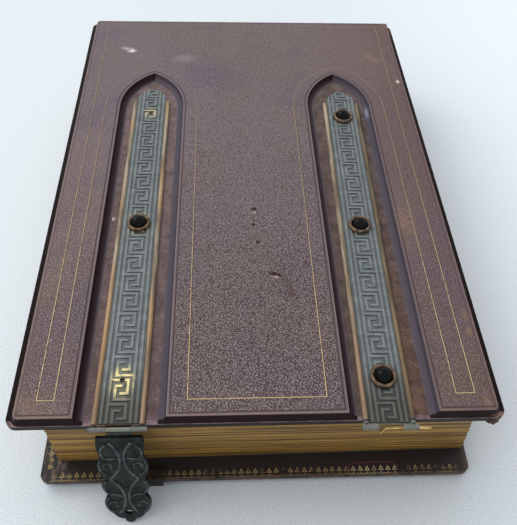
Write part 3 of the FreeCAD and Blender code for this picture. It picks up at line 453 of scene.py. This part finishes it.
def catch_scar(n, inward):
    """Outline of the lost right catch: the edge of a plate with rounded corners."""
    over_x = n.most(n.minus(n.away(n.axis("X"), LOST_CATCH_X), 0.0098), 0.0)
    over_y = n.most(n.minus(inward, 0.0036), 0.0)
    scar = n.ramp(n.away(n.reach(over_x, over_y), 0.003), 0.0008, 0.0001)
    return n.times(scar, n.patches(300, 4, 0.3, 0.6))


def lower_leather_material():
    """The same leather in shade, rubbed at the edge, with the scar of the lost right catch."""
    material, n = new_material("album_leather_lower")
    pebble = grain(n)
    inward = n.minus(n.axis("Y"), BOTTOM[0][1])
    body = n.mix(n.noise(60, 4), rgb(34, 25, 24), rgb(50, 38, 34))
    body = n.tint(n.invert(pebble), 0.4, body, rgb(18, 11, 12))
    body = n.tint(catch_scar(n, inward), 0.6, body, rgb(104, 60, 52))
    edge = n.ramp(inward, 0.0014, -0.0004)
    side = n.ramp(n.axis("X"), BOTTOM[1][0] - 0.004, BOTTOM[1][0])
    rubbed = n.times(n.most(edge, side), n.patches(120, 5, 0.38, 0.6))
    body = n.tint(rubbed, 0.8, body, rgb(98, 70, 54))
    corner = n.spot((BOTTOM[0][0] + 0.007, BOTTOM[0][1] + 0.016, BOTTOM[1][2]),
                    (0.015, 0.030, 0.006))
    folds = n.ramp(n.streaks((420, 110, 1), 3, 0.6), 0.45, 0.6)
    body = n.tint(n.times(corner, folds), 0.75, body, rgb(120, 98, 76))
    n.finish(body, 0.5, normal=n.bump(pebble, 0.35, 0.0003), Specular_IOR_Level=0.4)
    return material


SPINE_LEATHER = spine_material()
dress(leather_material(), "upper_leather")
dress(SPINE_LEATHER, "spine_leather")
dress(lower_leather_material(), "lower_leather")


# ---------------------------------------------------------------- board, paper and metal

def simple_material(name, light, dark, scale, roughness, metallic=0.0, bump=0.0, **constants):
    """Two colours mottled together, with a fine bump where one is given."""
    material, n = new_material(name)
    body = n.mix(n.patches(scale, 4, 0.35, 0.7), dark, light)
    normal = n.bump(n.noise(scale * 6, 3), bump, 0.0002) if bump else None
    n.finish(body, roughness, metallic, normal, **constants)
    return material


dress(simple_material("album_board", rgb(128, 104, 78), rgb(104, 84, 62), 200, 0.9),
      "upper_board", "lower_board", "spine_liner")
dress(simple_material("album_endpaper", rgb(190, 178, 154), rgb(181, 168, 144), 30, 0.85),
      "upper_pastedown", "lower_pastedown")
dress(simple_material("album_flyleaf", rgb(124, 110, 90), rgb(115, 102, 83), 30, 0.85),
      "upper_flyleaf", "lower_flyleaf")
dress(simple_material("album_stone", rgb(4, 7, 9), rgb(3, 3, 4), 100, 0.05,
                      Specular_IOR_Level=0.15),
      "left_mid_cabochon", "right_near_cabochon", "right_mid_cabochon", "right_far_cabochon")
dress(simple_material("album_bezel", rgb(140, 116, 92), rgb(84, 64, 50), 330, 0.4, 0.7),
      "left_mid_bezel", "right_near_bezel", "right_mid_bezel", "right_far_bezel")
dress(simple_material("album_pin", rgb(122, 118, 106), rgb(70, 66, 58), 400, 0.4, 0.7, 0.2),
      "left_hinge_pin")
dress(simple_material("album_brass_pin", rgb(236, 212, 140), rgb(172, 132, 72), 400, 0.3, 0.8),
      "right_hinge_pin")

# Painted shade on the side of the knuckles that lies towards the cover.
KNUCKLE_SHADE = rgb(42, 40, 36)
CLASP_LEAN = math.radians(15.6)


def clasp_material():
    """Near-black cast metal; the scroll rods are rubbed paler and the knuckle is silver, with
    painted light on its top and painted shade below and towards the cover.
    """
    material, n = new_material("album_clasp")
    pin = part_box("left_hinge_pin")
    y = n.minus(n.axis("Y"), (pin[0][1] + pin[1][1]) / 2)
    z = n.minus(n.axis("Z"), (pin[0][2] + pin[1][2]) / 2)
    outward = n.minus(n.times(z, math.sin(CLASP_LEAN)), n.times(y, math.cos(CLASP_LEAN)))
    rods = n.ramp(outward, 0.00195, 0.0024)
    patch = n.patches(260, 4, 0.4, 0.66)
    body = n.mix(patch, rgb(13, 15, 15), rgb(41, 45, 43))
    body = n.tint(rods, 0.7, body, n.mix(patch, rgb(66, 72, 71), rgb(106, 112, 109)))
    # Painted light and shade: the knuckle lighter above its axis, darker below and on its side
    # towards the cover.
    knuckle = n.mix(n.ramp(z, -0.0006, 0.0006), rgb(66, 64, 58), rgb(132, 130, 118))
    knuckle = n.mix(n.ramp(y, 0.0001, 0.0007), knuckle, KNUCKLE_SHADE)
    body = n.mix(n.ramp(z, -0.0018, -0.0012), body, knuckle)
    lumps = n.times(n.noise(620, 3), n.invert(rods))
    n.finish(body, 0.42, 0.7, n.bump(lumps, 0.45, 0.0006))
    return material


def catch_material():
    """Brown lacquered plate on the front of its top; the rest of the top and the other faces are
    painted dark as shade.
    """
    material, n = new_material("album_catch")
    inward = n.minus(n.axis("Y"), BOTTOM[0][1])
    # Painted shade: the lacquer shows only on the front part of the top; the top further back and
    # the other faces are dark.
    top = n.times(n.ramp(n.facing("Z"), 0.4, 0.8), n.ramp(inward, 0.005, 0.0035))
    lacquer = n.mix(n.patches(300, 4, 0.4, 0.7), rgb(56, 43, 35), rgb(88, 69, 54))
    n.finish(n.mix(top, rgb(26, 21, 21), lacquer), 0.5, 0.5,
             n.bump(n.noise(1300, 3), 0.3, 0.0002))
    return material


def leaf_material():
    """Gilt edges: rubbed gold over brown, streaked along the leaves."""
    material, n = new_material("album_leaves")
    streak = n.streaks((22, 22, 2400), 5, 0.65)
    body = n.mix(n.ramp(streak, 0.38, 0.62), rgb(100, 68, 26), rgb(202, 156, 74))
    layer = n.ramp(n.streaks((4, 4, 700), 2, 0.5), 0.56, 0.62)
    body = n.tint(layer, 0.7, body, rgb(58, 38, 18))
    gap = n.ramp(n.away(n.streaks((2, 2, 330), 1, 0.5), 0.5), 0.022, 0.006)
    body = n.tint(gap, 0.85, body, rgb(40, 24, 12))
    body = n.tint(n.patches(70, 5, 0.55, 0.75, 0.6), 0.35, body, rgb(156, 124, 62))
    n.finish(body, 0.5, 0.25, n.bump(streak, 0.5, 0.0004), Specular_IOR_Level=0.4)
    return material


dress(clasp_material(), "left_clasp")
dress(catch_material(), "left_catch_plate")
dress(leaf_material(), "page_block")


# ---------------------------------------------------------------- straps

def band_gilding(n, raised):
    """Gilding left on the left band: at its near end, round its stud and at its far end."""
    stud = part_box("left_mid_bezel")
    x = (stud[0][0] + stud[1][0]) / 2
    near = n.spot((x, NEAR_Y + 0.0215, FLOOR_Z), (0.0085, 0.0135, 0.01))
    middle = n.spot((x, (stud[0][1] + stud[1][1]) / 2, FLOOR_Z), (0.0095, 0.0135, 0.01))
    far = n.spot((x, NEAR_Y + 0.222, FLOOR_Z), (0.0075, 0.0085, 0.01))
    near = n.times(n.ramp(near, 0.0, 0.45), n.patches(420, 4, 0.3, 0.5))
    gilt_mask = n.most(near, n.times(n.ramp(far, 0.0, 0.5), 0.5))
    gilt_mask = n.most(gilt_mask, n.times(n.ramp(middle, 0.0, 0.4), 0.4))
    return n.times(gilt_mask, n.plus(0.12, n.times(raised, 0.88)))


def band_material():
    """Silvered key band: pale on the raised lines, gilt in three places, dull in front."""
    material, n = new_material("album_key_band")
    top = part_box("left_key_band")[1][2]
    raised = n.ramp(n.axis("Z"), top - 0.00030, top - 0.00010)
    patch = n.noise(190, 5, 0.6)
    ground = n.mix(n.ramp(patch, 0.35, 0.7), rgb(88, 93, 92), rgb(106, 110, 107))
    line = n.mix(n.ramp(patch, 0.3, 0.75), rgb(111, 115, 115), rgb(133, 136, 133))
    body = n.mix(raised, ground, line)
    body = n.tint(n.patches(700, 4, 0.55, 0.75), 0.35, body, rgb(74, 72, 60))
    dull = n.mix(raised, rgb(47, 50, 45), n.mix(patch, rgb(68, 68, 60), rgb(102, 90, 74)))
    body = n.tint(n.ramp(n.axis("Y"), NEAR_Y + 0.035, NEAR_Y + 0.004), 0.85, body, dull)
    body = n.mix(band_gilding(n, raised), body, rgb(232, 212, 150))
    n.finish(body, 0.42, 0.55, n.bump(n.noise(1600, 3), 0.3, 0.0002))
    return material


def strap_material():
    """Copper strap: tan beads, with painted shade on the right strap's right one; dark copper and
    painted shade along its foot; grey metal knuckles with painted shade towards the cover.
    """
    material, n = new_material("album_strap")
    patch = n.ramp(n.streaks((420, 34, 420), 4, 0.6), 0.3, 0.7)
    near = n.ramp(n.axis("Y"), NEAR_Y + 0.12, NEAR_Y + 0.02)
    bead = n.mix(patch, rgb(102, 84, 64), n.mix(near, rgb(170, 156, 132), rgb(146, 116, 88)))
    glow = n.ramp(n.streaks((20, 16, 20), 2, 0.5), 0.5, 0.62)
    bead = n.tint(glow, 0.5, bead, rgb(170, 128, 78))
    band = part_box("right_key_band")
    middle = (band[0][0] + band[1][0]) / 2
    # Painted shade on the right strap's right bead.
    dark = n.ramp(n.axis("X"), middle + 0.004, middle + 0.008)
    bead = n.tint(dark, 0.85, bead, n.mix(patch, rgb(58, 46, 30), rgb(112, 92, 60)))
    # Dark copper and painted shade along the strap's foot at the floor.
    base = n.ramp(n.axis("Z"), FLOOR_Z + 0.0012, FLOOR_Z + 0.0003)
    body = n.tint(base, 0.85, bead, rgb(78, 44, 26))
    knuckle = n.mix(n.noise(700, 3), rgb(66, 66, 60), rgb(138, 136, 124))
    # Painted shade on the knuckles' side towards the cover.
    knuckle = n.mix(n.ramp(n.axis("Y"), NEAR_Y - 0.0015, NEAR_Y - 0.0009), knuckle, KNUCKLE_SHADE)
    body = n.mix(n.ramp(n.axis("Y"), NEAR_Y + 0.0002, NEAR_Y - 0.0004), body, knuckle)
    n.finish(body, 0.46, 0.25, n.bump(n.noise(1200, 3), 0.3, 0.0002))
    return material


dress(band_material(), "left_key_band", "right_key_band")
dress(strap_material(), "left_strap_base", "right_strap_base")


# ---------------------------------------------------------------- tooling in gold

# How far the gilt line lies over the leather, in mm.
LIFT = 0.05
# Left foot, right foot and apex of each gilt arch, in mm on the upper cover.
GILT_ARCHES = ((-93.4, -33.0, (-63.3, 271.2)), (31.4, 92.2, (65.0, 272.0)))
ARCH_STEPS = 16


def gold_material():
    """The upper cover's gilt line, brighter towards the near edge and worn through in places."""
    material, n = new_material("album_gilt_line")
    worn = n.patches(260, 5, 0.3, 0.5, 0.65)
    bright = n.mix(n.ramp(n.axis("Y"), NEAR_Y + 0.22, NEAR_Y), rgb(150, 126, 92),
                   rgb(198, 170, 116))
    n.finish(n.mix(worn, rgb(122, 98, 76), bright), 0.5, 0.15)
    return material


# Dark strip under the gilt fillet: the tooled groove, and set off to one side as painted shadow.
def groove_and_shadow_material():
    material, n = new_material("album_groove_and_shadow")
    n.finish(n.mix(n.noise(300, 3), rgb(58, 38, 40), rgb(82, 60, 58)), 0.6)
    return material


def dull_gold_material():
    """Rubbed gilt, brightest where the lost right catch covered it, gone further back."""
    material, n = new_material("album_dull_gilt")
    kept = n.ramp(n.away(n.axis("X"), LOST_CATCH_X), 0.0135, 0.0115)
    worn = n.plus(n.patches(230, 5, 0.36, 0.56, 0.65), n.times(kept, 0.5), clamp=True)
    worn = n.times(worn, n.ramp(n.minus(n.axis("Y"), BOTTOM[0][1]), 0.060, 0.008))
    worn = n.times(worn, n.ramp(n.axis("X"), 0.107, 0.103))
    bright = n.mix(kept, rgb(156, 132, 88), rgb(198, 180, 138))
    n.finish(n.mix(worn, rgb(46, 35, 30), bright), 0.5, 0.3)
    return material


def ribbon(name, points, width, closed, material):
    """Flat strip along points that lie in one level plane."""
    mesh = bmesh.new()
    count = len(points)
    left, right = [], []
    for i, point in enumerate(points):
        before = points[i - 1] if (i or closed) else point
        after = points[(i + 1) % count] if (i < count - 1 or closed) else point
        first = (point - before).normalized() if (point - before).length else None
        second = (after - point).normalized() if (after - point).length else None
        first = first or second
        second = second or first
        along = (first + second).normalized()
        side = Vector((-along.y, along.x, 0))
        cosine = max(0.35, along.dot(second))
        reach = side * (width / 2 / cosine)
        left.append(mesh.verts.new(point + reach))
        right.append(mesh.verts.new(point - reach))
    for i in range(count if closed else count - 1):
        j = (i + 1) % count
        mesh.faces.new((right[i], right[j], left[j], left[i]))
    return new_piece(name, mesh, material)


def gilt(name, points, width, closed, body, material):
    piece = ribbon(name, points, width * MM, closed, material)
    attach(piece, body)


def arch(left, right, apex):
    """Pointed arch from foot to foot over an apex, each side one arc that starts upright."""
    points = []
    for foot in (left, right):
        rise = apex[1] - SPRING
        centre = (foot * foot - apex[0] ** 2 - rise * rise) / (2 * (foot - apex[0]))
        radius = abs(foot - centre)
        turn = math.asin(rise / radius)
        out = 1 if foot > centre else -1
        side = [on_top(centre + out * radius * math.cos(turn * i / ARCH_STEPS),
                       SPRING + radius * math.sin(turn * i / ARCH_STEPS), LIFT)
                for i in range(ARCH_STEPS + 1)]
        points += side if foot == left else side[-2::-1]
    return points


def add_gilt_lines():
    """One gold fillet in a dark groove with a painted shadow beside it: round the panels and over
    both arches.
    """
    outer_y, inner_y, far_y, side = 11.0, 10.4, PANEL_FAR - 5.3, 101.2
    path = [on_top(-side, far_y, LIFT), on_top(-side, outer_y, LIFT)]
    for sizes, feet in zip(GILT_ARCHES, ((outer_y, inner_y), (inner_y, outer_y))):
        run = arch(*sizes)
        path.append(Vector((run[0].x, on_top(0, feet[0]).y, run[0].z)))
        path += run
        path.append(Vector((run[-1].x, on_top(0, feet[1]).y, run[0].z)))
    path += [on_top(side, outer_y, LIFT), on_top(side, far_y, LIFT)]
    gilt("gilt_fillet", path, 0.36, True, "upper_cover", gold_material())
    # The dark strip is shifted to one side of the fillet as its painted shadow.
    groove = [point + Vector((0.00022, 0.00012, -0.00003)) for point in path]
    gilt("gilt_groove_and_shadow", groove, 0.8, True, "upper_cover", groove_and_shadow_material())


def add_dentelle(material):
    """Small gold triangles along the lower cover's near margin, and fading away up its sides."""
    mesh = bmesh.new()
    pitch, half, base, apex, rib = 3.7, 1.45, 2.2, 5.0, 0.55
    hollow = ((-half * 0.42, base + rib), (half * 0.42, base + rib),
              (0, base + rib + (apex - base) * 0.36))
    dash = ((-0.35, -0.25), (0.35, -0.25), (0.35, 0.25), (-0.35, 0.25))

    def tooth(place):
        """One hollow triangle with a dash under it; place turns along and inward to a point."""
        outer = [mesh.verts.new(place(*p)) for p in ((-half, base), (half, base), (0, apex))]
        inner = [mesh.verts.new(place(*p)) for p in hollow]
        for a in range(3):
            b = (a + 1) % 3
            mesh.faces.new((outer[a], outer[b], inner[b], inner[a]))
        mesh.faces.new([mesh.verts.new(place(dx, 1.25 + dy)) for dx, dy in dash])

    for i in range(58):
        tooth(lambda along, inward: on_lower(-105.0 + pitch * i + along, inward))
    for i in range(15):
        for edge in (-1, 1):
            tooth(lambda along, inward: on_lower(edge * (111.5 - inward),
                                                 8.0 + pitch * i + along))
    bmesh.ops.recalc_face_normals(mesh, faces=mesh.faces)
    for face in mesh.faces:
        if face.normal.z < 0:
            face.normal_flip()
    piece = new_piece("dentelle", mesh, material)
    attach(piece, "lower_cover")


DULL_GOLD = dull_gold_material()
add_gilt_lines()
add_dentelle(DULL_GOLD)
gilt("dentelle_line", [on_lower(-107.5, 0.6), on_lower(107.5, 0.6)], 0.3, False, "lower_cover",
     DULL_GOLD)


# ---------------------------------------------------------------- leather joints of the spine

def joint_strip(name, y0, y1, z0, z1, lower):
    """Thin strip of leather over the gap between a cover and the spine."""
    mesh = bmesh.new()
    steps, gauge = 10, 0.00035
    half = (SPINE[1][0] - SPINE[0][0]) / 2 - 0.0005
    rows = []
    for i in range(steps + 1):
        t = i / steps
        y = y0 + (y1 - y0) * t
        z = z0 + (z1 - z0) * t
        outer = z - gauge if lower else z + gauge
        rows.append([mesh.verts.new((x, y, h)) for h in (z, outer) for x in (-half, half)])
    for a, b in zip(rows, rows[1:]):
        for i, j in ((0, 1), (1, 3), (3, 2), (2, 0)):
            mesh.faces.new((a[i], a[j], b[j], b[i]))
    for row in (rows[0], rows[-1]):
        mesh.faces.new((row[0], row[1], row[3], row[2]))
    bmesh.ops.recalc_face_normals(mesh, faces=mesh.faces)
    piece = new_piece(name, mesh, SPINE_LEATHER)
    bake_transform(piece)


joint_strip("upper_joint", FAR_Y - 0.0002, SPINE[1][1] - 0.0012, FLOOR_Z + 0.00005,
            SPINE[1][2] + 0.00005, False)
joint_strip("lower_joint", BOTTOM[1][1] - 0.0002, BOTTOM[1][1] + 0.0038, SPINE[0][2] - 0.00005,
            SPINE[0][2] - 0.00005, True)


# ---------------------------------------------------------------- wear

def add_torn_flap():
    """Strip of leather torn loose under the near right corner of the upper cover."""
    material, n = new_material("album_torn_leather")
    n.finish(n.mix(n.patches(420, 4, 0.42, 0.62), rgb(44, 22, 19), rgb(120, 78, 50)), 0.8)
    mesh = bmesh.new()
    steps, folds, rows = 18, 4, []
    root = (TOP[0][2] - PANEL_Z) / MM + 0.15
    for i in range(steps + 1):
        t = i / steps
        x = 105.4 + 8.6 * t
        reach = math.sin(math.pi * (0.06 + 0.88 * t)) ** 0.6 * RANDOM.uniform(0.85, 1.1)
        back = 1.6 + 2.6 * max(0.0, (x - 109.6) / 4.4) ** 2
        rows.append([mesh.verts.new(on_top(x, back - 2.7 * reach * k / folds,
                                           root - 1.9 * reach * (k / folds) ** 1.6))
                     for k in range(folds + 1)])
    for a, b in zip(rows, rows[1:]):
        for k in range(folds):
            mesh.faces.new((a[k], a[k + 1], b[k + 1], b[k]))
    piece = new_piece("torn_flap", mesh, material)
    thick = piece.modifiers.new("thick", "SOLIDIFY")
    thick.thickness = 0.00045
    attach(piece, "upper_cover")


add_torn_flap()


# ---------------------------------------------------------------- stage

def add_table():
    """Plain pale table, with painted light making it a little lighter to the right."""
    bpy.ops.mesh.primitive_plane_add(size=6, location=(0, 0, -0.0002))
    table = bpy.context.object
    table.name = "table"
    material, n = new_material("table")
    body = n.mix(n.patches(1000, 2, 0.35, 0.7, 0.7), rgb(196, 200, 200), rgb(213, 217, 217))
    # Painted light: lighter towards the right.
    body = n.tint(n.ramp(n.axis("X"), 0.02, 0.32), 0.5, body, rgb(232, 236, 238))
    n.finish(body, 0.75, normal=n.bump(n.noise(700, 3), 0.3, 0.0006))
    table.data.materials.append(material)


def add_lamp():
    """Weak soft lamp behind on the left, for the shadows' direction."""
    light = bpy.data.lights.new("window", "AREA")
    light.size = 0.7
    light.energy = 4
    lamp = bpy.data.objects.new("window", light)
    lamp.location = Vector((-0.9, 0.6, 1.1))
    aim = Vector((0, 0, 0.05)) - lamp.location
    lamp.rotation_euler = aim.to_track_quat("-Z", "Y").to_euler()
    bpy.context.scene.collection.objects.link(lamp)


def add_world():
    """Sky bright above, on the left and behind, dark towards the viewer; seen as plain and pale."""
    world = bpy.data.worlds.new("sky")
    bpy.context.scene.world = world
    world.use_nodes = True
    n = Nodes(world.node_tree)
    toward = n.vector("DOT_PRODUCT", n.add("ShaderNodeTexCoord").outputs["Generated"],
                      Vector((-0.55, 0.35, 0.75)).normalized())
    lighting = n.add("ShaderNodeBackground")
    n.put(lighting.inputs["Color"], n.mix(n.ramp(toward, -0.1, 0.95), (0.030, 0.027, 0.030, 1),
                                          (1.0, 1.05, 1.12, 1)))
    lighting.inputs["Strength"].default_value = 1.9
    backdrop = n.add("ShaderNodeBackground")
    backdrop.inputs["Color"].default_value = rgb(222, 230, 234)
    rays = n.add("ShaderNodeLightPath").outputs
    seen = n.most(rays["Is Camera Ray"],
                  n.most(rays["Is Glossy Ray"], rays["Is Transmission Ray"]))
    shown = n.add("ShaderNodeMixShader")
    for socket, value in zip(shown.inputs, (seen, lighting.outputs[0], backdrop.outputs[0])):
        n.put(socket, value)
    n.put(n.add("ShaderNodeOutputWorld").inputs["Surface"], shown.outputs[0])


def add_camera():
    """The photo's viewpoint: from above the clasped edge, held a little askew."""
    pitch, yaw, roll = (math.radians(a) for a in (50.577, 4.424, 2.936))
    forward = Vector((math.sin(yaw) * math.cos(pitch), math.cos(yaw) * math.cos(pitch),
                      -math.sin(pitch)))
    level = Vector((math.cos(yaw), -math.sin(yaw), 0))
    upright = level.cross(forward)
    right = math.cos(roll) * level + math.sin(roll) * upright
    up = math.cos(roll) * upright - math.sin(roll) * level
    camera = bpy.data.cameras.new("camera")
    camera.lens = 45.0
    camera.sensor_width = 36.0
    camera.clip_start = 0.01
    holder = bpy.data.objects.new("camera", camera)
    turn = Matrix((right, up, -forward)).transposed().to_4x4()
    holder.matrix_world = Matrix.Translation((-0.01564, -0.29621, 0.34247)) @ turn
    bpy.context.scene.collection.objects.link(holder)
    bpy.context.scene.camera = holder


add_table()
add_world()
add_lamp()
add_camera()
bpy.context.scene.view_settings.view_transform = "Standard"
